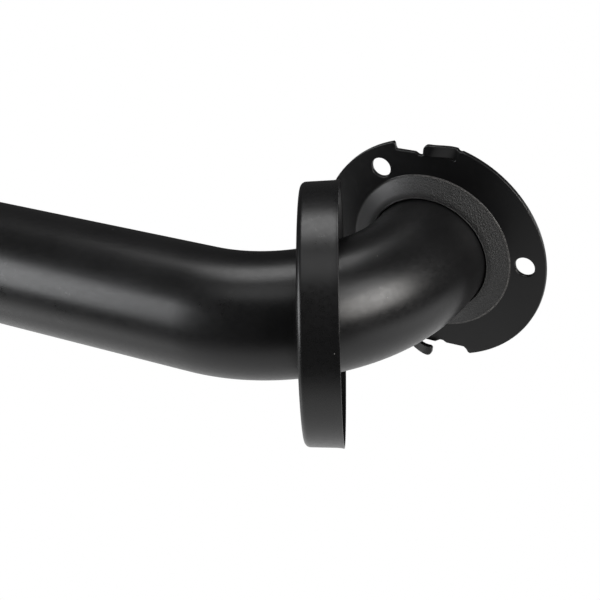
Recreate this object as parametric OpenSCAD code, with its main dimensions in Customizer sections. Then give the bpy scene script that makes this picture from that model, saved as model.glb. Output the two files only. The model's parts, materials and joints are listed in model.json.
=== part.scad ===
// Wall grab bar: one bent tube, welded at each end to a pressed wall flange,
// with a pressed cup at each end that slides along the tube and covers the flange.
// X runs along the bar, Z is up, and the wall is the plane y = 0 with the room at -Y.
// The origin is the centre of the left flange on the wall.

/* [Bar] */
// Distance between the centres of the two flanges
centre_distance = 406.4; // [300:0.1:920]
// Distance from the wall to the middle of the straight tube
stand_off = 57.15; // [57:0.05:65]
// Outside diameter of the tube
tube_d = 38.1; // [37.9:0.1:38.3]
// Thickness of the tube's wall
tube_wall = 1.2; // [1:0.1:2]
// Radius of each bend, measured to the middle of the tube
bend_r = 48.6; // [46:0.1:50]

/* [Flange] */
// Outside diameter of the flange
flange_d = 75; // [74.6:0.1:75.2]
// Thickness of the flange's sheet
sheet_t = 1.5; // [1.2:0.1:1.6]
// Diameter of the circle that the screw holes lie on
screw_circle_d = 61.6; // [61.4:0.1:62.6]
// Diameter of each screw hole
screw_hole_d = 6.4; // [5:0.1:6.6]
// Number of screw holes
screw_holes = 3; // [3, 6]
// Slope of the flank of the raised boss round the tube, in degrees
boss_slope = 28; // [20:1:30]

/* [Spring tabs] */
// Radius of the outer edge of the tabs, which grip the inside of the cup
tab_r = 37.75; // [37.6:0.05:38.1]
// How far a tab's free end stands out from the plate
tab_lift = 2.85; // [1:0.05:3.5]

/* [Cover cup] */
// Outside diameter of the cup at its open rim
rim_d = 78.9; // [78.4:0.1:80]
// Depth of the cup from the rim to the shoulder
shoulder_depth = 11.6; // [10:0.1:14]
// How far the closed face rises from the shoulder to its hole
face_rise = 0.9; // [0.5:0.1:2]
// Thickness of the cup's sheet
cup_t = 0.9; // [0.6:0.1:1]
// Diameter of the hole that the tube passes through
cup_hole_d = 40.2; // [39.6:0.1:41]

/* [Right cup's place] */
// How far round the bend the right cup hangs, in degrees from the flange
cup_bend_angle = 54.5; // [40:0.5:80]
// Tilt of the right cup beyond the tube's own direction, in degrees
cup_tilt = 9.2; // [0:0.1:10]
// How far the closed face of the right cup looks upwards, in degrees
cup_nod = 1.9; // [0:0.1:3]

/* [Hidden] */
$fn = 128;

black = [0.10, 0.10, 0.11];

// Tube
leg = stand_off - bend_r;        // straight stretch from the wall to the start of a bend
end_gap = 1;                     // the tube stops this far short of the wall
run_x = centre_distance - 2 * bend_r;

// Flange section
flange_r = flange_d / 2;
flange_hole_r = tube_d / 2 + 0.35;
edge_break = 0.25;               // rounded-over edge of a pressed sheet, as a small chamfer
foot_x = 26.4;                   // where the boss starts to rise from the flat plate
foot_r = 2;                      // inside radius at the foot of the boss, on the front
crown_r = 5;                     // radius over which the flank turns flat at the tube
boss_lip = 0.35;                 // edge break where the boss meets the tube

// Screw holes, spring tabs and the notches beside them, in degrees round the flange
hole_turn = 1.2;
tab_root = 75;
tab_tip = 90.1;
tab_mid = 82.5;
tab_inner_r = 34.2;
slit_r = 33.7;
tab_outer_corner = 1.7;
tab_inner_corner = 0.5;
tab_steps = 10;
tab_curve = 2.2;                 // 1 is a straight ramp, more is steeper at the root
dip_floor = 32.6;                // small dip between the slit and the recess
recess_floor = 33.3;
recess_ends = [[[-10.4, 33.5], [-10.8, 34.1], [-11, 35], [-11.4, 35.8], [-12.6, 40]],
               [[-10.6, 33.5], [-11.3, 34.3], [-11.8, 35], [-12.4, 35.5], [-14, 40]]];
relief_r = 1;

// Weld
weld_end_z = end_gap + 0.2;

// Cup section
rim_r = rim_d / 2;
wall_foot_r = rim_r - 0.3;       // below the small flare at the rim
flare_h = 2.5;
shoulder_r = rim_r - 0.55;
shoulder_fillet = 1.8;
cup_hole_r = cup_hole_d / 2;
cup_edge = 0.2;
face_steps = 4;
seat_gap = 0.3;                  // the seated cup's rim stays this far off the wall

// The right cup hangs by the play in its hole
cup_drop = 0.3;
cup_outward = 0.25;

function polar(r, a) = [r * cos(a), r * sin(a)];

// Points along an arc cut into the given number of pieces, both ends included
function arc(centre, r, a0, a1, n = 6) =
    [for (i = [0:n]) centre + polar(r, a0 + (a1 - a0) * i / n)];

// ---- Tube ----

// One end of the run, from the wall to the end of the bend
module run_end(d, past_end) {
    translate([0, past_end - end_gap, 0])
        rotate([90, 0, 0])
            cylinder(d = d, h = leg - end_gap + past_end);
    translate([bend_r, -leg, 0])
        rotate([0, 0, 180])
            rotate_extrude(angle = 90)
                translate([bend_r, 0])
                    circle(d = d);
}

// The whole bent run as a solid rod
module run(d, past_end = 0) {
    run_end(d, past_end);
    translate([centre_distance, 0, 0])
        mirror([1, 0, 0])
            run_end(d, past_end);
    translate([bend_r, -stand_off, 0])
        rotate([0, 90, 0])
            cylinder(d = d, h = run_x);
}

module grab_tube() {
    color(black)
        difference() {
            run(tube_d);
            run(tube_d - 2 * tube_wall, past_end = 1);
        }
}

// ---- Flange: drawn with its back on z = 0 and the room at +Z ----

foot_centre = [foot_x, sheet_t + foot_r];
foot_end = foot_centre + foot_r * [-sin(boss_slope), -cos(boss_slope)];
crown_x = flange_hole_r + crown_r * sin(boss_slope);
crown_start = [crown_x, foot_end[1] + (foot_end[0] - crown_x) * tan(boss_slope)];
crown_centre = crown_start - polar(crown_r, 90 - boss_slope);

// The rounded top of the boss, from its flank to the tube hole, at a depth below the front
function crown(depth) = arc(crown_centre, crown_r - depth, 90 - boss_slope, 90);

// One face of the boss, from the plate to the tube hole, at a depth below the front
function boss_face(depth) =
    concat(arc(foot_centre, foot_r + depth, 270, 270 - boss_slope), crown(depth));

function reversed(points) = [for (i = [len(points) - 1:-1:0]) points[i]];

function without_last(points) = [for (i = [0:len(points) - 2]) points[i]];

boss_front = boss_face(0);
boss_back = boss_face(sheet_t);
boss_top = boss_front[len(boss_front) - 1];
boss_under = boss_back[len(boss_back) - 1];

module flange_section() {
    polygon(concat(
        [[flange_r - edge_break, 0], [flange_r, edge_break],
         [flange_r, sheet_t - edge_break], [flange_r - edge_break, sheet_t]],
        without_last(boss_front),
        [boss_top + [boss_lip, -0.01], boss_top - [0, boss_lip]],
        reversed(boss_back)
    ));
}

// Notch beside a tab: the slit under the tab, a small dip past its tip and a shallow recess
module tab_notch(recess_end) {
    translate([0, 0, -1])
        linear_extrude(sheet_t + 2)
            polygon(concat(
                [polar(40, tab_root)],
                [for (a = [tab_root:3:tab_root + 15]) polar(slit_r, a)],
                [[-0.6, slit_r - 0.1], [-1.8, dip_floor + 0.2], [-2.4, dip_floor],
                 [-3.1, dip_floor], [-3.7, dip_floor + 0.2], [-4.5, recess_floor],
                 [-9.8, recess_floor]],
                recess_end
            ));
}

// Height of a tab's underside above the back of the plate, from root (0) to tip (1)
function tab_height(u) = tab_lift * (1 - pow(1 - max(u, 0), tab_curve));

tab_length = tab_r * 2 * sin((tab_tip - tab_root) / 2);
tab_start_x = tab_r * sin(tab_mid - tab_root);
tab_root_flat = 0.8;

// Side view of the bent tab: its root is at +X and its tip at -X
module tab_side() {
    stations = concat([-tab_root_flat / tab_length], [for (i = [0:tab_steps]) i / tab_steps]);
    polygon(concat(
        [for (u = stations) [tab_start_x - u * tab_length, tab_height(u)]],
        [for (u = reversed(stations)) [tab_start_x - u * tab_length, tab_height(u) + sheet_t]]
    ));
}

// Plan view of the tab, square at its root and with rounded corners at its tip
module tab_plan() {
    tip_x = tab_start_x - tab_length;
    inner_y = tab_inner_r - 0.15;
    outer_y = tab_r - 0.15;
    intersection() {
        difference() {
            circle(r = tab_r);
            circle(r = tab_inner_r);
        }
        union() {
            translate([tip_x + tab_outer_corner, 30])
                square([12, 10]);
            translate([tip_x + tab_inner_corner, 30])
                square([3, outer_y - 30 - tab_outer_corner]);
            translate([tip_x, inner_y + tab_inner_corner])
                square([3, outer_y - inner_y - tab_inner_corner - tab_outer_corner]);
            translate([tip_x + tab_inner_corner, inner_y + tab_inner_corner])
                circle(r = tab_inner_corner);
            translate([tip_x + tab_outer_corner, outer_y - tab_outer_corner])
                circle(r = tab_outer_corner);
        }
    }
}

module tab() {
    rotate([0, 0, tab_mid - 90])
        intersection() {
            translate([0, 42, 0])
                rotate([90, 0, 0])
                    linear_extrude(14)
                        tab_side();
            translate([0, 0, -1])
                linear_extrude(tab_lift + sheet_t + 2)
                    tab_plan();
        }
}

// Small round relief in the rim at a tab's root
module root_relief() {
    translate([0, 0, -1])
        translate(polar(flange_r - 0.3 + relief_r, tab_root - 1))
            cylinder(r = relief_r, h = sheet_t + 2);
}

module flange() {
    color(black)
        difference() {
            union() {
                difference() {
                    rotate_extrude()
                        flange_section();
                    for (i = [0, 1])
                        rotate([0, 0, i * 180])
                            tab_notch(recess_ends[i]);
                }
                for (turn = [0, 180])
                    rotate([0, 0, turn])
                        tab();
            }
            for (i = [0:screw_holes - 1])
                rotate([0, 0, hole_turn + i * 360 / screw_holes])
                    translate([screw_circle_d / 2, 0, -1])
                        cylinder(d = screw_hole_d, h = sheet_t + 2);
            for (turn = [0, 180])
                rotate([0, 0, turn])
                    root_relief();
        }
}

// ---- Weld: a fillet behind the boss, between the tube and the flange ----

module weld() {
    under = crown(sheet_t);
    toe = under[0];
    color([0.16, 0.16, 0.17])
        rotate_extrude()
            polygon(concat(
                [[tube_d / 2, weld_end_z], [tube_d / 2 + 1, weld_end_z + 0.1], toe - [0.4, 0.5]],
                under,
                [[tube_d / 2, boss_under[1]]]
            ));
}

// ---- Cover cup: drawn with its open rim on z = 0 and its closed face up ----

// The closed face is a shallow dome, so its radius follows from its rise
face_outer_r = shoulder_r - shoulder_fillet;
dome_r = (pow(face_outer_r, 2) - pow(cup_hole_r, 2)) / (2 * face_rise);
dome_edge_angle = asin(face_outer_r / dome_r);

function dome_z(r, depth) =
    shoulder_depth - depth + (pow(face_outer_r, 2) - pow(r, 2)) / (2 * dome_r);

// One face of the cup's sheet, from the rim to the hole, at a depth below the outside
function cup_face(depth) = concat(
    [[wall_foot_r - depth, flare_h]],
    arc([face_outer_r, shoulder_depth - shoulder_fillet], shoulder_fillet - depth,
        0, 90 - dome_edge_angle, 8),
    [for (i = [1:face_steps - 1])
        let (r = face_outer_r + (cup_hole_r - face_outer_r) * i / face_steps)
        [r, dome_z(r, depth)]]
);

module cup_section() {
    polygon(concat(
        [[rim_r - cup_t, cup_edge], [rim_r - cup_t + cup_edge, 0],
         [rim_r - cup_edge, 0], [rim_r, cup_edge]],
        cup_face(0),
        [[cup_hole_r + cup_edge, dome_z(cup_hole_r, 0)],
         [cup_hole_r, dome_z(cup_hole_r, 0) - cup_edge],
         [cup_hole_r, dome_z(cup_hole_r, cup_t) + cup_edge],
         [cup_hole_r + cup_edge, dome_z(cup_hole_r, cup_t)]],
        reversed(cup_face(cup_t))
    ));
}

module cup() {
    color(black)
        rotate_extrude()
            cup_section();
}

// ---- Placing ----

// Stands a piece on the wall at x, turned about its own axis
module on_wall(x, turn = 0) {
    translate([x, 0, 0])
        rotate([90, 0, turn])
            children();
}

// Both flanges are the same pressing, the left one turned half round
module flange_right() {
    on_wall(centre_distance)
        flange();
}

module flange_left() {
    on_wall(0)
        rotate([0, 0, 180])
            flange();
}

module weld_right() {
    on_wall(centre_distance)
        weld();
}

module weld_left() {
    on_wall(0)
        weld();
}

// The left cup is pushed home over its flange
module cover_left() {
    on_wall(0)
        translate([0, 0, seat_gap])
            cup();
}

// The right cup hangs part of the way round its bend, clear of its flange
module cover_right() {
    hang = polar(bend_r + cup_outward, -cup_bend_angle);
    translate([centre_distance - bend_r + hang[0], hang[1] - leg, -cup_drop])
        rotate([90 - cup_nod, 0, -(cup_bend_angle + cup_tilt)])
            translate([0, 0, -shoulder_depth])
                cup();
}

grab_tube();
flange_right();
flange_left();
weld_right();
weld_left();
cover_right();
cover_left();
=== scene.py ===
"""The look of a black wall grab bar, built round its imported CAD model."""

import json
import math

import bmesh
import bpy
from mathutils import Matrix, Vector


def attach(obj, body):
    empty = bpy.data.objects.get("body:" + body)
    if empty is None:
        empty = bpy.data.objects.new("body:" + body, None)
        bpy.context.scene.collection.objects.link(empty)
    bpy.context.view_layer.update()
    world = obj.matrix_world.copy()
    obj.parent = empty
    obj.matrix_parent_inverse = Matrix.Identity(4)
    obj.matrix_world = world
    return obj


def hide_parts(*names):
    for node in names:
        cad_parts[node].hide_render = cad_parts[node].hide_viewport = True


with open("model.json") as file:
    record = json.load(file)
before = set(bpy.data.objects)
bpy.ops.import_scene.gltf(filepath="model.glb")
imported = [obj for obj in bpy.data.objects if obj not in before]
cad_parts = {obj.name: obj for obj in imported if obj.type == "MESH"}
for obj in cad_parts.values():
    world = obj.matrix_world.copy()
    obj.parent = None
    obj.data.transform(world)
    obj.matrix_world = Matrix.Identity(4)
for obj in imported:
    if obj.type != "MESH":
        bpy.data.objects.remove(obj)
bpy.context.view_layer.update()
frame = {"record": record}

MM = 0.001
record = frame["record"]
mounts = {mount["name"]: mount for mount in record["mounts"]}

# ---- Sizes that the frame gives ----

LEFT = Vector(mounts["screw_holes_left"]["pos_m"])
RIGHT = Vector(mounts["screw_holes_right"]["pos_m"])
SCREW_CIRCLE_R = mounts["screw_holes_right"]["dims"]["pcd_mm"] / 2
SCREW_HOLE_R = mounts["screw_holes_right"]["dims"]["hole_r_mm"]
SCREW_HOLES = mounts["screw_holes_right"]["dims"]["count"]
GRIP = mounts["grip_tube"]
TUBE_R = GRIP["dims"]["r_mm"]
STAND_OFF = -GRIP["pos_m"][1] / MM
CENTRES = (RIGHT - LEFT).length / MM
BEND_R = (CENTRES - GRIP["dims"]["length_mm"]) / 2

# ---- Sizes repeated from the CAD source, in millimetres and degrees ----

TUBE_WALL = 1.2
TUBE_END_GAP = 1.0
SHEET = 1.5
FLANGE_R = 37.5
FLANGE_HOLE_R = TUBE_R + 0.35
FOOT_X = 26.4
FOOT_R = 2.0
CROWN_R = 5.0
BOSS_SLOPE = 28
HOLE_TURN = 1.2
TAB_R = 37.75
TAB_INNER_R = 34.2
TAB_LIFT = 2.85
TAB_ROOT = 75
TAB_TIP = 90.1
TAB_MID = 82.5
TAB_OUTER_CORNER = 1.7
TAB_INNER_CORNER = 0.5
SLIT_R = 33.7
DIP_FLOOR = 32.6
RECESS_FLOOR = 33.3
RELIEF_R = 1.0
RELIEF_DEPTH = 0.3
RIM_R = 39.45
SHOULDER_DEPTH = 11.6
SHOULDER_FILLET = 1.8
FACE_RISE = 0.9
CUP_SHEET = 0.9
CUP_EDGE_R = 0.2
CUP_HOLE_R = 20.1
SEAT_GAP = 0.3
CUP_BEND_ANGLE = 54.5
CUP_TILT = 9.2
CUP_NOD = 1.9
CUP_DROP = 0.3
CUP_OUTWARD = 0.25


def polar(radius, degrees):
    angle = math.radians(degrees)
    return Vector((radius * math.cos(angle), radius * math.sin(angle)))


def arc(centre, radius, start, end, pieces):
    """Points along an arc, both ends included."""
    return [Vector(centre) + polar(radius, start + (end - start) * i / pieces)
            for i in range(pieces + 1)]


# ---- Placing: pieces are drawn with the wall at z = 0 and the room at +Z ----

def on_wall(centre, turn=0):
    return (Matrix.Translation(centre) @ Matrix.Rotation(math.radians(90), 4, "X")
            @ Matrix.Rotation(math.radians(turn), 4, "Z"))


def hanging_cup():
    """Where the right cup hangs: part of the way round its bend, tilted by the play in its hole."""
    leg = STAND_OFF - BEND_R
    hang = polar(BEND_R + CUP_OUTWARD, -CUP_BEND_ANGLE)
    place = RIGHT + Vector((hang.x - BEND_R, hang.y - leg, -CUP_DROP)) * MM
    return (Matrix.Translation(place)
            @ Matrix.Rotation(math.radians(-(CUP_BEND_ANGLE + CUP_TILT)), 4, "Z")
            @ Matrix.Rotation(math.radians(90 - CUP_NOD), 4, "X")
            @ Matrix.Translation((0, 0, -SHOULDER_DEPTH * MM)))


def add_piece(name, bm, place, body, node, material):
    """Turns millimetre geometry into a shaded object that stands for one CAD node."""
    bm.transform(place @ Matrix.Scale(MM, 4))
    bmesh.ops.recalc_face_normals(bm, faces=bm.faces)
    mesh = bpy.data.meshes.new(name)
    bm.to_mesh(mesh)
    bm.free()
    mesh.shade_smooth()
    piece = bpy.data.objects.new(name, mesh)
    bpy.context.scene.collection.objects.link(piece)
    weighted = piece.modifiers.new("weighted_normals", "WEIGHTED_NORMAL")
    weighted.weight = 100
    mesh.materials.append(material)
    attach(piece, body)
    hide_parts(node)
    return piece


def join_rings(bm, rings, closed=True):
    """Quads between neighbouring rings of vertices; closed also joins the last ring to the first."""
    pairs = list(zip(rings, rings[1:]))
    if closed:
        pairs.append((rings[-1], rings[0]))
    for ring, following in pairs:
        count = len(ring)
        for i in range(count):
            j = (i + 1) % count
            bm.faces.new((ring[i], ring[j], following[j], following[i]))


# ---- Tube ----

TUBE_SIDES = 128
BEND_STEPS = 40
RUN_STEPS = 64
EDGE_R = 0.25
EDGE_STEPS = 3


def tube_path():
    """Centre points and directions of the tube, from the left wall end to the right one."""
    leg = STAND_OFF - BEND_R
    wall_end = (Vector((0, -TUBE_END_GAP, 0)), Vector((0, -1, 0)))
    stations = [wall_end]
    for i in range(BEND_STEPS + 1):
        turn = polar(BEND_R, 180 + 90 * i / BEND_STEPS)
        away = polar(1, 270 + 90 * i / BEND_STEPS)
        stations.append((Vector((BEND_R + turn.x, turn.y - leg, 0)), Vector((away.x, away.y, 0))))
    half = list(stations)
    for i in range(1, RUN_STEPS):
        x = BEND_R + (CENTRES - 2 * BEND_R) * i / RUN_STEPS
        stations.append((Vector((x, -STAND_OFF, 0)), Vector((1, 0, 0))))
    for centre, away in reversed(half):
        stations.append((Vector((CENTRES - centre.x, centre.y, 0)), Vector((away.x, -away.y, 0))))
    return stations


def tube_ring(bm, centre, away, radius):
    side = Vector((0, 0, 1)).cross(away)
    ring = []
    for i in range(TUBE_SIDES):
        spoke = polar(radius, 360 * i / TUBE_SIDES)
        ring.append(bm.verts.new(centre + side * spoke.x + Vector((0, 0, spoke.y))))
    return ring


def tube_lip(bm, end, outward):
    """The rounded edge of a cut end, from the outside wall to the inside wall."""
    centre, away = end
    outer = TUBE_R - EDGE_R
    inner = TUBE_R - TUBE_WALL + EDGE_R
    turns = [90 * i / EDGE_STEPS for i in range(EDGE_STEPS + 1)]
    profile = [(outer + EDGE_R * math.cos(math.radians(a)), EDGE_R * math.sin(math.radians(a)))
               for a in turns]
    profile += [(inner - EDGE_R * math.sin(math.radians(a)), EDGE_R * math.cos(math.radians(a)))
                for a in turns]
    return [tube_ring(bm, centre + outward * (rise - EDGE_R), away, radius)
            for radius, rise in profile]


def build_tube():
    bm = bmesh.new()
    stations = tube_path()
    first, last = stations[0], stations[-1]
    middle = stations[1:-1]
    rings = [tube_ring(bm, centre, away, TUBE_R) for centre, away in middle]
    rings += tube_lip(bm, last, last[1])
    rings += [tube_ring(bm, centre, away, TUBE_R - TUBE_WALL) for centre, away in reversed(middle)]
    rings += reversed(tube_lip(bm, first, -first[1]))
    join_rings(bm, rings)
    return bm


# ---- Pieces turned on a lathe ----

def revolve(profile, steps, wobble=None):
    """A closed ring from a closed outline of (radius, height) points."""
    bm = bmesh.new()
    rings = []
    for index, (radius, height) in enumerate(profile):
        ring = []
        for i in range(steps):
            r, z = radius, height
            if wobble:
                r, z = wobble(index, i / steps, radius, height)
            spoke = polar(r, 360 * i / steps)
            ring.append(bm.verts.new((spoke.x, spoke.y, z)))
        rings.append(ring)
    join_rings(bm, rings)
    return bm


# ---- Cups ----

CUP_STEPS = 256
SIDE_LEAN = 0.55
FACE_OUTER_R = RIM_R - SIDE_LEAN - SHOULDER_FILLET
DOME_R = (FACE_OUTER_R ** 2 - CUP_HOLE_R ** 2) / (2 * FACE_RISE)
FLARE_H = 2.5
FLARE = 0.3
FLARE_STEPS = 6
SIDE_STEPS = 4
FACE_STEPS = 12


def dome_height(radius, depth):
    return SHOULDER_DEPTH - depth + (FACE_OUTER_R ** 2 - radius ** 2) / (2 * DOME_R)


def cup_face(depth):
    """One face of the cup's sheet from the flared rim to the hole, at a depth below the outside."""
    dome_start = 90 - math.degrees(math.asin(FACE_OUTER_R / DOME_R))
    wall = []
    for i in range(1, FLARE_STEPS + 1):
        lean = FLARE * math.sin(math.radians(90 * i / FLARE_STEPS))
        wall.append(Vector((RIM_R - lean - depth, FLARE_H * i / FLARE_STEPS)))
    flare_top = wall[-1]
    wall_top = Vector((RIM_R - SIDE_LEAN - depth, SHOULDER_DEPTH - SHOULDER_FILLET))
    for i in range(1, SIDE_STEPS):
        wall.append(flare_top.lerp(wall_top, i / SIDE_STEPS))
    shoulder = arc((FACE_OUTER_R, SHOULDER_DEPTH - SHOULDER_FILLET), SHOULDER_FILLET - depth,
                   0, dome_start, 10)
    face = []
    for i in range(1, FACE_STEPS):
        radius = FACE_OUTER_R + (CUP_HOLE_R + CUP_SHEET / 2 - FACE_OUTER_R) * i / FACE_STEPS
        face.append(Vector((radius, dome_height(radius, depth))))
    return wall + shoulder + face


def build_cup():
    """A pressed cup: eased edges at the rim and a full round on the sheet's edge at the hole."""
    half = CUP_SHEET / 2
    inner_rim = RIM_R - CUP_SHEET + CUP_EDGE_R
    rim = (arc((inner_rim, CUP_EDGE_R), CUP_EDGE_R, 180, 270, 4)
           + arc((RIM_R - CUP_EDGE_R, CUP_EDGE_R), CUP_EDGE_R, 270, 360, 4))
    hole_x = CUP_HOLE_R + half
    hole = arc((hole_x, dome_height(hole_x, half)), half, 90, 270, 8)
    outline = rim + cup_face(0) + hole + list(reversed(cup_face(CUP_SHEET)))
    return revolve(outline, CUP_STEPS)


# ---- Bosses, and the weld beads behind them ----

WELD_STEPS = 480
WELD_RIPPLES = 60
RIPPLE_HEIGHT = 0.16
BEAD_POINTS = 8
BEAD_BULGE = 0.3
BEAD_ROOT_GAP = 0.2


def boss_crown(depth):
    """The rounded top of the boss, from its flank to the tube hole, at a depth below the front."""
    slope = math.radians(BOSS_SLOPE)
    foot_end = Vector((FOOT_X - FOOT_R * math.sin(slope), SHEET + FOOT_R * (1 - math.cos(slope))))
    crown_x = FLANGE_HOLE_R + CROWN_R * math.sin(slope)
    start = Vector((crown_x, foot_end.y + (foot_end.x - crown_x) * math.tan(slope)))
    centre = start - polar(CROWN_R, 90 - BOSS_SLOPE)
    return arc(centre, CROWN_R - depth, 90 - BOSS_SLOPE, 90, 8)


def boss_face(depth):
    """One face of the boss, from the flat plate to the tube hole, at a depth below the front."""
    foot_centre = (FOOT_X, SHEET + FOOT_R)
    return arc(foot_centre, FOOT_R + depth, 270, 270 - BOSS_SLOPE, 6) + boss_crown(depth)


def build_weld():
    """A rippled fillet bead between the tube and the underside of the boss."""
    under = boss_crown(SHEET)
    toe = under[0]
    root = Vector((TUBE_R, TUBE_END_GAP + BEAD_ROOT_GAP))
    bead = [Vector((TUBE_R, under[-1].y))]
    for i in range(BEAD_POINTS):
        t = i / BEAD_POINTS
        bulge = BEAD_BULGE * math.sin(math.pi * t)
        bead.append(root.lerp(toe, t) + Vector((0.5, -0.8)) * bulge)
    outline = bead + under

    def ripple(index, turn, radius, height):
        if index < 2 or index >= BEAD_POINTS:
            return radius, height
        phase = (turn * WELD_RIPPLES) % 1
        lift = RIPPLE_HEIGHT * ((1 - (2 * phase - 1) ** 2) ** 0.5 - 0.5)
        return radius, height - lift

    return revolve(outline, WELD_STEPS, ripple)


# ---- Flange ----

# Vertex layers that tell the coating where the boss is (painted highlight and sheen), where its
# coarse side is, and where the painted highlight line at its foot is
BOSS_MASK = "boss"
COARSE_MASK = "coarse"
# Layer for the painted highlight line along the boss's foot
FOOT_HIGHLIGHT_MASK = "foot_highlight"
FOOT_RINGS = (1, 2, 3)
BOSS_FADE_FROM = 26.3
BOSS_FADE_TO = 24.4
COARSE_TOWARD = 15
BOSS_STEPS = 192
RIM_STEPS = 48
TAB_STATIONS = 40
TAB_RISE = 0.92
TAB_RISE_END = 0.85
TAB_START = TAB_ROOT + 0.15
TAB_TIP_INSET = 0.15
SLIT_STEPS = 8
SLIT_STEP = 1.6
SLIT_END = TAB_ROOT + 14
RELIEF_TURN = TAB_ROOT - 1
RIM_START_GAP = 0.3
HOLE_STEPS = 48
LIP_R = 0.35
# Corners of the dip beside a tab's slit and of the recess's floor: (point, radius)
DIP_CORNERS = (((-0.5, SLIT_R), 0.5), ((-2.2, DIP_FLOOR), 0.4), ((-3.2, DIP_FLOOR), 0.4),
               ((-4.4, RECESS_FLOOR), 0.5))
# Where each recess climbs back to the rim; the two ends differ a little
RECESS_ENDS = (
    (((-10.5, RECESS_FLOOR), 0.3), ((-10.85, 34.2), 0.5), ((-11.0, 35.2), 0.5), ((-11.45, 35.7), 0)),
    (((-10.4, RECESS_FLOOR), 0.3), ((-11.3, 34.1), 0.6), ((-11.75, 35.0), 0.5), ((-12.4, 35.4), 0)),
)


def tab_lift(degrees):
    """Height of a tab above the plate at an angle round the flange."""
    u = (degrees - TAB_ROOT) / (TAB_TIP - TAB_ROOT)
    u = min(max(u, 0), 1)
    rise = min(u / TAB_RISE_END, 1)
    return TAB_LIFT * (TAB_RISE * rise * rise * (3 - 2 * rise) + (1 - TAB_RISE) * u)


def rounded(corners):
    """An open line through corners, each (point, radius), with an arc at each inner corner."""
    line = [corners[0][0]]
    for before, (corner, radius), after in zip(corners, corners[1:], corners[2:]):
        back = (before[0] - corner).normalized()
        ahead = (after[0] - corner).normalized()
        reach = radius / math.tan(back.angle(ahead) / 2)
        start, end = corner + back * reach, corner + ahead * reach
        for i in range(5):
            t = i / 4
            line.append(start.lerp(corner, t).lerp(corner.lerp(end, t), t))
    line.append(corners[-1][0])
    return line


def tab_tip():
    """The tab's free end, from its outer edge to its inner one, both left out."""
    tip = TAB_R * math.sin(math.radians(TAB_MID - TAB_TIP))
    outer = Vector((tip + TAB_OUTER_CORNER, TAB_R - TAB_TIP_INSET - TAB_OUTER_CORNER))
    inner = Vector((tip + TAB_INNER_CORNER, TAB_INNER_R - TAB_TIP_INSET + TAB_INNER_CORNER))
    end = (arc(outer, TAB_OUTER_CORNER, 90, 180, 8)[1:]
           + arc(inner, TAB_INNER_CORNER, 180, 270, 4)[:-1])
    turn = Matrix.Rotation(math.radians(TAB_MID - 90), 2)
    return [turn @ point for point in end]


def tab_edge_end(radius, corner):
    """Angle at which a tab's edge of this radius meets the corner at its free end."""
    tip = TAB_R * math.sin(math.radians(TAB_MID - TAB_TIP)) + corner
    return TAB_MID - math.degrees(math.asin(tip / radius))


def tab_edge(radius, first, last):
    angles = [first + (last - first) * i / TAB_STATIONS for i in range(TAB_STATIONS + 1)]
    return [polar(radius, a) for a in angles]


def root_relief():
    """The small round bite in the rim at a tab's root, up to where the tab's edge starts."""
    centre = polar(FLANGE_R - RELIEF_DEPTH + RELIEF_R, RELIEF_TURN)
    reach = math.degrees(math.acos((RELIEF_R - RELIEF_DEPTH) / RELIEF_R))
    bite = RELIEF_TURN + 180
    return arc(centre, RELIEF_R, bite - reach, bite + reach, 6)[::-1]


def half_outline(recess_end):
    """Half of the sheet's outline, from one tab's root to just before the other's."""
    relief = root_relief()
    outer = tab_edge(TAB_R, TAB_ROOT, tab_edge_end(TAB_R, TAB_OUTER_CORNER))
    outer[0] = polar(FLANGE_R, TAB_START)
    inner = tab_edge(TAB_INNER_R, TAB_START, tab_edge_end(TAB_INNER_R, TAB_INNER_CORNER))
    slit = [polar(SLIT_R, TAB_ROOT + SLIT_STEP * i) for i in range(SLIT_STEPS + 1)]
    corners = [(polar(SLIT_R, SLIT_END), 0)]
    corners += [(Vector(point), radius) for point, radius in DIP_CORNERS + recess_end]
    recess_top = corners[-1][0]
    rim_start = math.degrees(math.atan2(recess_top.y, recess_top.x)) + RIM_START_GAP
    rim_end = math.degrees(math.atan2(relief[0].y, relief[0].x)) + 180
    rim = arc((0, 0), FLANGE_R, rim_start, rim_end, RIM_STEPS)[:-1]
    parts = (("plate", relief), ("outer", outer), ("tip", tab_tip()), ("inner", inner[::-1]),
             ("plate", slit), ("plate", rounded(corners)), ("plate", rim))
    return [(point, part) for part, points in parts for point in points]


def flange_outline():
    """The sheet's outline seen from the room, anticlockwise, as (point, part) pairs.

    A part is plate, or one of outer, tip and inner on a tab.
    """
    upper, lower = [half_outline(end) for end in RECESS_ENDS]
    return upper + [(-point, part) for point, part in lower]


def inset(points, distance):
    """A closed outline moved into the sheet, which lies on its left."""
    moved = []
    for i, here in enumerate(points):
        before, after = points[i - 1], points[(i + 1) % len(points)]
        a = (here - before).normalized()
        b = (after - here).normalized()
        normal_a, normal_b = Vector((-a.y, a.x)), Vector((-b.y, b.x))
        mitre = (normal_a + normal_b) / max(1 + normal_a.dot(normal_b), 0.5)
        moved.append(here + mitre * distance)
    return moved


def edge_profile():
    """How a sheet's edge goes from its top face to its back: (inset, height) pairs."""
    turns = [math.radians(90 * i / EDGE_STEPS) for i in range(EDGE_STEPS + 1)]
    top = [(EDGE_R * (1 - math.sin(a)), SHEET - EDGE_R * (1 - math.cos(a))) for a in turns]
    return top + [(across, SHEET - height) for across, height in reversed(top)]


def add_edge(bm, outline, lifts):
    """The rounded edge of the sheet along a closed outline; returns its top and back rings."""
    rings = []
    for across, height in edge_profile():
        points = inset(outline, across)
        rings.append([bm.verts.new((p.x, p.y, height + lift)) for p, lift in zip(points, lifts)])
    join_rings(bm, rings, closed=False)
    return rings[0], rings[-1]


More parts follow.
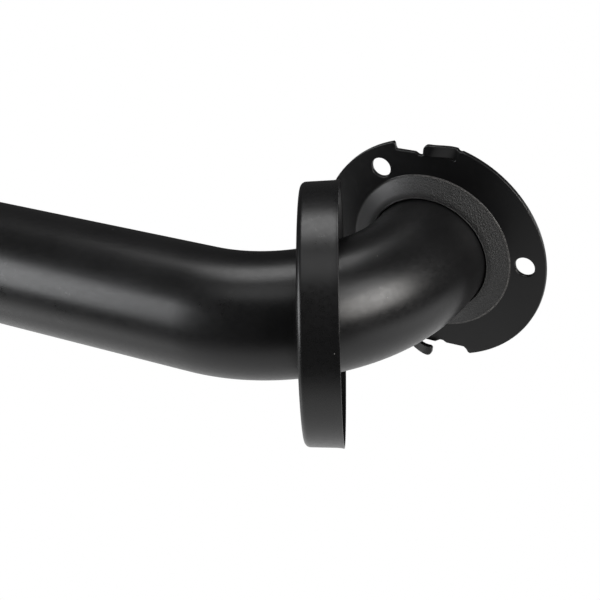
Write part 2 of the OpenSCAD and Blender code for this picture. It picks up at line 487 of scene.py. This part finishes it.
def add_tab_faces(bm, ring, parts, half):
    """The flat side of one tab: strips from its inner edge to its outer edge, and its tip."""
    span = range(half, half + len(parts) // 2)
    outer = [ring[i] for i in span if parts[i] == "outer"]
    tip = [ring[i] for i in span if parts[i] == "tip"]
    inner = [ring[i] for i in span if parts[i] == "inner"][::-1]
    for i in range(TAB_STATIONS):
        bm.faces.new((outer[i], outer[i + 1], inner[i + 1], inner[i]))
    bm.faces.new([outer[-1]] + tip + [inner[-1]])


def coarse_side(degrees):
    """1 on the side of the boss where the coating lies thick and coarse, 0 on the smooth side; the
    smooth side carries the boss's painted highlight, and the painted highlight line at its foot
    shows on the coarse side.
    """
    return min(max(0.5 + 1.2 * math.cos(math.radians(degrees - COARSE_TOWARD)), 0), 1)


def boss_rings(bm):
    """The raised boss from the plate's front, over the lip at the tube, to the plate's back."""
    front, back = boss_face(0), boss_face(SHEET)
    top = front.pop()
    lip = arc((top.x + LIP_R, top.y - LIP_R), LIP_R, 90, 180, 4)
    profile = front + lip + back[::-1]
    layers = bm.verts.layers.float
    boss_mask, coarse_mask, foot_highlight_mask = layers[BOSS_MASK], layers[COARSE_MASK], layers[FOOT_HIGHLIGHT_MASK]
    rings = []
    for index, (radius, height) in enumerate(profile):
        fade = min(max((BOSS_FADE_FROM - radius) / (BOSS_FADE_FROM - BOSS_FADE_TO), 0), 1)
        ring = []
        for i in range(BOSS_STEPS):
            angle = 360 * i / BOSS_STEPS
            spoke = polar(radius, angle)
            vert = bm.verts.new((spoke.x, spoke.y, height))
            vert[coarse_mask] = coarse_side(angle) if radius < BOSS_FADE_FROM else 0
            vert[boss_mask] = max(fade, vert[coarse_mask])
            # The painted highlight line at the foot shows on the coarse side only
            vert[foot_highlight_mask] = coarse_side(angle) if index in FOOT_RINGS else 0
            ring.append(vert)
        rings.append(ring)
    join_rings(bm, rings, closed=False)
    return rings[0], rings[-1]


def fill_face(bm, level):
    """Fills the open edges that lie between the given vertices."""
    members = set(level)
    edges = [e for e in bm.edges if e.is_boundary and members.issuperset(e.verts)]
    bmesh.ops.triangle_fill(bm, use_beauty=True, use_dissolve=False, edges=edges)


def build_flange():
    bm = bmesh.new()
    for mask in (BOSS_MASK, COARSE_MASK, FOOT_HIGHLIGHT_MASK):
        bm.verts.layers.float.new(mask)
    outline = flange_outline()
    points = [point for point, _ in outline]
    parts = [part for _, part in outline]
    lifts = []
    for point, part in outline:
        angle = math.degrees(math.atan2(point.y, point.x)) % 180
        lifts.append(0 if part == "plate" else tab_lift(angle))
    sides = [list(ring) for ring in add_edge(bm, points, lifts)]
    for ring in sides:
        for half in (0, len(parts) // 2):
            add_tab_faces(bm, ring, parts, half)
    for hole in range(SCREW_HOLES):
        centre = polar(SCREW_CIRCLE_R, HOLE_TURN + 360 * hole / SCREW_HOLES)
        circle = arc(centre, SCREW_HOLE_R, 360, 360 / HOLE_STEPS, HOLE_STEPS - 1)
        for side, ring in zip(sides, add_edge(bm, circle, [0] * HOLE_STEPS)):
            side.extend(ring)
    for side, ring in zip(sides, boss_rings(bm)):
        side.extend(ring)
        fill_face(bm, side)
    return bm


# ---- Materials ----

# Painted light on the boss: a lighter colour on its smooth side is painted highlight, a less light
# one on its coarse side is painted sheen
BOSS_PAINTED_HIGHLIGHT_COLOUR = (0.062, 0.062, 0.063)
BOSS_PAINTED_SHEEN_COLOUR = (0.024, 0.024, 0.024)
# Colour of the painted highlight line along the boss's foot
FOOT_HIGHLIGHT_COLOUR = (0.13, 0.125, 0.12)
# Lighter colour of rubbed edges: partly rubbed-through coating, partly painted highlight along
# rounded edges
EDGE_WEAR_AND_HIGHLIGHT_COLOUR = (0.11, 0.105, 0.10)
DUST_COLOUR = (0.32, 0.31, 0.30)
DUST_STRENGTH = 0.6
DUST_PER_MM = 0.16
CLOUDS_PER_MM = 0.03
EDGE_REACH_MM = 0.5
SHEEN_SPREAD = 0.03
CLOUD_SHEEN = 0.025
GRIT_MM = 0.6
GRIT_DEPTH = 0.45


class Nodes:
    """Short calls for building one material's node tree."""

    def __init__(self, name):
        self.material = bpy.data.materials.new(name)
        self.material.use_nodes = True
        self.tree = self.material.node_tree
        self.tree.nodes.clear()
        self.output = self.add("ShaderNodeOutputMaterial")

    def add(self, kind, **settings):
        node = self.tree.nodes.new(kind)
        for key, value in settings.items():
            setattr(node, key, value)
        return node

    def link(self, source, target):
        self.tree.links.new(source, target)

    def attribute(self, name):
        return self.add("ShaderNodeAttribute", attribute_name=name).outputs["Fac"]

    def noise(self, place, per_mm, detail=2.0, rough=0.5):
        node = self.add("ShaderNodeTexNoise")
        self.link(place, node.inputs["Vector"])
        node.inputs["Scale"].default_value = per_mm / MM
        node.inputs["Detail"].default_value = detail
        node.inputs["Roughness"].default_value = rough
        return node.outputs["Fac"]

    def spread(self, value, low, high, to_low, to_high):
        node = self.add("ShaderNodeMapRange", clamp=True, interpolation_type="SMOOTHSTEP")
        self.link(value, node.inputs["Value"])
        for name, number in (("From Min", low), ("From Max", high),
                             ("To Min", to_low), ("To Max", to_high)):
            node.inputs[name].default_value = number
        return node.outputs["Result"]

    def math(self, operation, first, second):
        node = self.add("ShaderNodeMath", operation=operation)
        for value, socket in zip((first, second), node.inputs):
            if isinstance(value, (int, float)):
                socket.default_value = value
            else:
                self.link(value, socket)
        return node.outputs["Value"]

    def mix(self, factor, first, second):
        node = self.add("ShaderNodeMix", data_type="RGBA")
        self.link(factor, node.inputs["Factor"])
        for value, name in ((first, "A_Color"), (second, "B_Color")):
            socket = next(s for s in node.inputs if s.identifier == name)
            if isinstance(value, tuple):
                socket.default_value = (*value, 1)
            else:
                self.link(value, socket)
        return next(s for s in node.outputs if s.identifier == "Result_Color")

    def bump(self, height, distance_mm, under=None):
        node = self.add("ShaderNodeBump")
        node.inputs["Strength"].default_value = 1
        node.inputs["Distance"].default_value = distance_mm * MM
        self.link(height, node.inputs["Height"])
        if under:
            self.link(under, node.inputs["Normal"])
        return node.outputs["Normal"]


def edge_mask(nodes, place, reach_mm):
    """About 1 on patchy stretches of sharp edges and 0 elsewhere, where the lighter edge colour
    goes: partly rubbed-through coating, partly painted highlight.
    """
    bevel = nodes.add("ShaderNodeBevel", samples=6)
    bevel.inputs["Radius"].default_value = reach_mm * MM
    geometry = nodes.add("ShaderNodeNewGeometry")
    alike = nodes.add("ShaderNodeVectorMath", operation="DOT_PRODUCT")
    nodes.link(bevel.outputs["Normal"], alike.inputs[0])
    nodes.link(geometry.outputs["Normal"], alike.inputs[1])
    edge = nodes.spread(alike.outputs["Value"], 0.98, 0.80, 0, 1)
    patches = nodes.spread(nodes.noise(place, 0.35, detail=4), 0.45, 0.62, 0, 1)
    return nodes.math("MULTIPLY", edge, patches)


def dust_specks(nodes, place):
    """1 on a few small specks and 0 elsewhere: one cell in six has a speck at its middle."""
    cells = nodes.add("ShaderNodeTexVoronoi", feature="F1")
    nodes.link(place, cells.inputs["Vector"])
    cells.inputs["Scale"].default_value = DUST_PER_MM / MM
    speck = nodes.spread(cells.outputs["Distance"], 0.035, 0.015, 0, 1)
    chance = nodes.add("ShaderNodeSeparateColor")
    nodes.link(cells.outputs["Color"], chance.inputs["Color"])
    return nodes.math("MULTIPLY", speck, nodes.spread(chance.outputs["Red"], 0.80, 0.85, 0, 1))


def boss_painted_light(nodes, place, tone, boss, coarse):
    """The plate's colour, lightened on the boss as painted highlight and painted sheen, and along a
    painted highlight line at its foot.
    """
    # Painted highlight on the smooth side of the boss, painted sheen on its coarse side
    boss_painted_light_colour = nodes.mix(coarse, BOSS_PAINTED_HIGHLIGHT_COLOUR, BOSS_PAINTED_SHEEN_COLOUR)
    tone = nodes.mix(boss, tone, boss_painted_light_colour)
    broken = nodes.spread(nodes.noise(place, 1.2, detail=3), 0.35, 0.55, 0.3, 1)
    # A broken painted highlight line along the boss's foot
    foot = nodes.math("MULTIPLY", nodes.attribute(FOOT_HIGHLIGHT_MASK), broken)
    return nodes.mix(foot, tone, FOOT_HIGHLIGHT_COLOUR)


def powder_coat(name, colour, roughness, peel_mm, peel_depth, grain_mm, grain_depth, edge_wear_and_highlight=0.5,
                boss_roughness=None):
    """Black powder coating: orange peel, fine grain, uneven sheen, rubbed edges that are partly
    painted highlight, and specks of dust.

    A flange's boss is coarser than its plate where boss_roughness is given, and its colour is then
    lightened as painted highlight and painted sheen, with a painted highlight line at its foot.
    """
    nodes = Nodes(name)
    place = nodes.add("ShaderNodeTexCoord").outputs["Object"]
    surface = nodes.add("ShaderNodeBsdfPrincipled")
    nodes.link(surface.outputs["BSDF"], nodes.output.inputs["Surface"])

    cloud = nodes.noise(place, CLOUDS_PER_MM, detail=3)
    dark = tuple(c * 0.8 for c in colour)
    light = tuple(c * 1.3 for c in colour)
    tone = nodes.mix(nodes.spread(cloud, 0.35, 0.65, 0, 1), dark, light)
    # Lighter rubbed edges: partly rubbed-through coating, partly painted highlight along rounded
    # edges
    edge_wear_and_highlight_mix = nodes.math("MULTIPLY", edge_mask(nodes, place, EDGE_REACH_MM), edge_wear_and_highlight)
    tone = nodes.mix(edge_wear_and_highlight_mix, tone, EDGE_WEAR_AND_HIGHLIGHT_COLOUR)
    dust = nodes.math("MULTIPLY", dust_specks(nodes, place), DUST_STRENGTH)
    tone = nodes.mix(dust, tone, DUST_COLOUR)

    mottle = nodes.noise(place, 0.9 / peel_mm, detail=3, rough=0.6)
    sheen = nodes.spread(mottle, 0.3, 0.7, roughness - SHEEN_SPREAD, roughness + SHEEN_SPREAD)
    patch = nodes.spread(cloud, 0.3, 0.7, -CLOUD_SHEEN, CLOUD_SHEEN)
    sheen = nodes.math("ADD", sheen, patch)

    relief = nodes.bump(nodes.noise(place, 1 / peel_mm, detail=1), peel_depth)
    grain = nodes.noise(place, 1 / grain_mm, detail=2, rough=0.7)
    relief = nodes.bump(grain, grain_depth, under=relief)

    if boss_roughness:
        boss = nodes.attribute(BOSS_MASK)
        coarse = nodes.attribute(COARSE_MASK)
        # Painted highlight and painted sheen on the boss, and a painted highlight line at its foot
        tone = boss_painted_light(nodes, place, tone, boss, coarse)
        rougher = nodes.math("MULTIPLY", boss, boss_roughness - roughness)
        sheen = nodes.math("ADD", sheen, rougher)
        grit = nodes.noise(place, 1 / GRIT_MM, detail=3, rough=0.7)
        grit = nodes.math("MULTIPLY", grit, coarse)
        relief = nodes.bump(grit, GRIT_DEPTH, under=relief)

    nodes.link(tone, surface.inputs["Base Color"])
    nodes.link(sheen, surface.inputs["Roughness"])
    nodes.link(relief, surface.inputs["Normal"])
    return nodes.material


# ---- Floor, backdrop and lights ----

FLOOR_DROP = 0.10
FLOOR_SIZE = 12
BACKDROP_R = 9


def plain_white(name):
    nodes = Nodes(name)
    glow = nodes.add("ShaderNodeEmission")
    glow.inputs["Color"].default_value = (1, 1, 1, 1)
    nodes.link(glow.outputs["Emission"], nodes.output.inputs["Surface"])
    return nodes.material


def seen_only(obj):
    """Keeps a backdrop out of the object's reflections, so that the lights alone shape them."""
    obj.visible_diffuse = False
    obj.visible_glossy = False
    obj.visible_transmission = False
    obj.visible_shadow = False


def build_stage():
    white = plain_white("stage_white")
    middle = (LEFT + RIGHT) / 2
    bm = bmesh.new()
    bmesh.ops.create_grid(bm, x_segments=1, y_segments=1, size=FLOOR_SIZE)
    bmesh.ops.translate(bm, verts=bm.verts, vec=middle - Vector((0, 0, FLOOR_DROP)))
    floor_mesh = bpy.data.meshes.new("floor")
    bm.to_mesh(floor_mesh)
    bm.free()
    bm = bmesh.new()
    bmesh.ops.create_uvsphere(bm, u_segments=48, v_segments=24, radius=BACKDROP_R)
    bmesh.ops.translate(bm, verts=bm.verts, vec=middle)
    backdrop_mesh = bpy.data.meshes.new("backdrop")
    bm.to_mesh(backdrop_mesh)
    bm.free()
    for name, mesh in (("floor", floor_mesh), ("backdrop", backdrop_mesh)):
        mesh.materials.append(white)
        obj = bpy.data.objects.new(name, mesh)
        bpy.context.scene.collection.objects.link(obj)
        seen_only(obj)


def toward(azimuth, elevation):
    """Direction from the object: azimuth from the room towards +X, elevation from the floor."""
    a, e = math.radians(azimuth), math.radians(elevation)
    return Vector((math.sin(a) * math.cos(e), -math.cos(a) * math.cos(e), math.sin(e)))


# name, azimuth, elevation, width, height, radiance, colour
LIGHTS = (
    ("left_softbox", -49, 14, 1.00, 0.90, 5, (0.975, 0.985, 1)),
    ("left_low_card", -62, -14, 0.80, 0.50, 0.7, (1, 1, 1)),
    ("left_floor_card", -58, -34, 0.90, 0.50, 0.6, (1, 1, 1)),
    ("right_softbox", 76, 24, 0.95, 0.85, 6.8, (1, 0.975, 0.945)),
    ("right_lamp", 82, 28, 0.50, 0.50, 2.9, (1, 1, 1)),
    ("right_upper_card", 80, 48, 0.60, 0.50, 3.2, (1, 1, 1)),
    ("right_floor_card", 95, -30, 1.40, 0.50, 0.6, (1, 1, 1)),
    ("rear_top_softbox", -145, 69, 0.80, 0.70, 3.8, (1, 1, 1)),
    ("overhead_card", 20, 72, 1.20, 0.60, 1.1, (1, 1, 1)),
    ("rear_card", 165, -8, 0.90, 0.50, 3, (1, 1, 1)),
)
LIGHT_DISTANCE = 1.5
LIGHT_TARGET = RIGHT + Vector((-0.03, -0.03, 0))
# The glow fades from the floor to the room between these elevations
FLOOR_GLOW = 0.8
FLOOR_ELEVATION = -50
ROOM_GLOW = 0.05
ROOM_ELEVATION = -15


def build_world():
    """A dark studio over a bright floor, for what the object reflects below and around it."""
    world = bpy.data.worlds.new("room")
    world.use_nodes = True
    tree = world.node_tree
    background = tree.nodes["Background"]
    background.inputs["Color"].default_value = (1, 1, 1, 1)
    way = tree.nodes.new("ShaderNodeTexCoord")
    split = tree.nodes.new("ShaderNodeSeparateXYZ")
    ramp = tree.nodes.new("ShaderNodeMapRange")
    ramp.interpolation_type = "SMOOTHSTEP"
    ramp.inputs["From Min"].default_value = math.sin(math.radians(FLOOR_ELEVATION))
    ramp.inputs["From Max"].default_value = math.sin(math.radians(ROOM_ELEVATION))
    ramp.inputs["To Min"].default_value = FLOOR_GLOW
    ramp.inputs["To Max"].default_value = ROOM_GLOW
    tree.links.new(way.outputs["Generated"], split.inputs["Vector"])
    tree.links.new(split.outputs["Z"], ramp.inputs["Value"])
    tree.links.new(ramp.outputs["Result"], background.inputs["Strength"])
    bpy.context.scene.world = world


def build_lights():
    for name, azimuth, elevation, width, height, radiance, colour in LIGHTS:
        light = bpy.data.lights.new(name, "AREA")
        light.shape = "RECTANGLE"
        light.size, light.size_y = width, height
        light.energy = radiance * math.pi * width * height
        light.color = colour
        lamp = bpy.data.objects.new(name, light)
        lamp.visible_camera = False
        way = toward(azimuth, elevation)
        lamp.location = LIGHT_TARGET + way * LIGHT_DISTANCE
        lamp.rotation_euler = way.to_track_quat("Z", "Y").to_euler()
        bpy.context.scene.collection.objects.link(lamp)


# ---- Camera ----

CAMERA_WAY = toward(31.0, 31.64)
CAMERA_AIM = RIGHT + Vector((-32.67, -28.7, -9.56)) * MM
CAMERA_DISTANCE = 0.438
CAMERA_ROLL = -5.11
LENS_MM = 84.36
SENSOR_MM = 36


def build_camera():
    camera = bpy.data.cameras.new("camera")
    camera.sensor_width = SENSOR_MM
    camera.lens = LENS_MM
    camera.clip_start = 0.01
    eye = bpy.data.objects.new("camera", camera)
    roll = Matrix.Rotation(math.radians(CAMERA_ROLL), 4, "Z")
    turn = CAMERA_WAY.to_track_quat("Z", "Y").to_matrix().to_4x4() @ roll
    eye.matrix_world = Matrix.Translation(CAMERA_AIM + CAMERA_WAY * CAMERA_DISTANCE) @ turn
    bpy.context.scene.collection.objects.link(eye)
    bpy.context.scene.camera = eye


# ---- The whole scene ----

def build_object():
    tube_coat = powder_coat("tube_coat", (0.005, 0.005, 0.0053), 0.31, 1.3, 0.005, 0.16, 0.0015)
    cover_coat = powder_coat("cover_coat", (0.005, 0.005, 0.0053), 0.31, 1.2, 0.004, 0.16, 0.0008,
                             edge_wear_and_highlight=0.2)
    # The flange's lighter rubbed edges are turned up to full so that they also act as painted
    # highlight along its rounded rim
    flange_coat = powder_coat("flange_coat", (0.005, 0.005, 0.0053), 0.33, 1.0, 0.004, 0.30, 0.004,
                              edge_wear_and_highlight=1.0, boss_roughness=0.42)
    weld_coat = powder_coat("weld_coat", (0.012, 0.012, 0.0125), 0.45, 0.8, 0.008, 0.25, 0.006)
    home = on_wall(LEFT) @ Matrix.Translation((0, 0, SEAT_GAP * MM))
    along_bar = Matrix.Translation(LEFT)
    add_piece("tube", build_tube(), along_bar, "bar", "grab_tube", tube_coat)
    for side, centre, turn in (("right", RIGHT, 0), ("left", LEFT, 180)):
        place = on_wall(centre, turn)
        add_piece(f"wall_flange_{side}", build_flange(), place, "bar", f"flange_{side}",
                  flange_coat)
        add_piece(f"weld_bead_{side}", build_weld(), place, "bar", f"weld_{side}",
                  weld_coat)
    for side, place in (("right", hanging_cup()), ("left", home)):
        add_piece(f"cup_{side}", build_cup(), place, f"cup_{side}", f"cover_{side}",
                  cover_coat)


build_camera()
build_stage()
build_world()
build_lights()
build_object()
bpy.context.scene.view_settings.view_transform = "Standard"
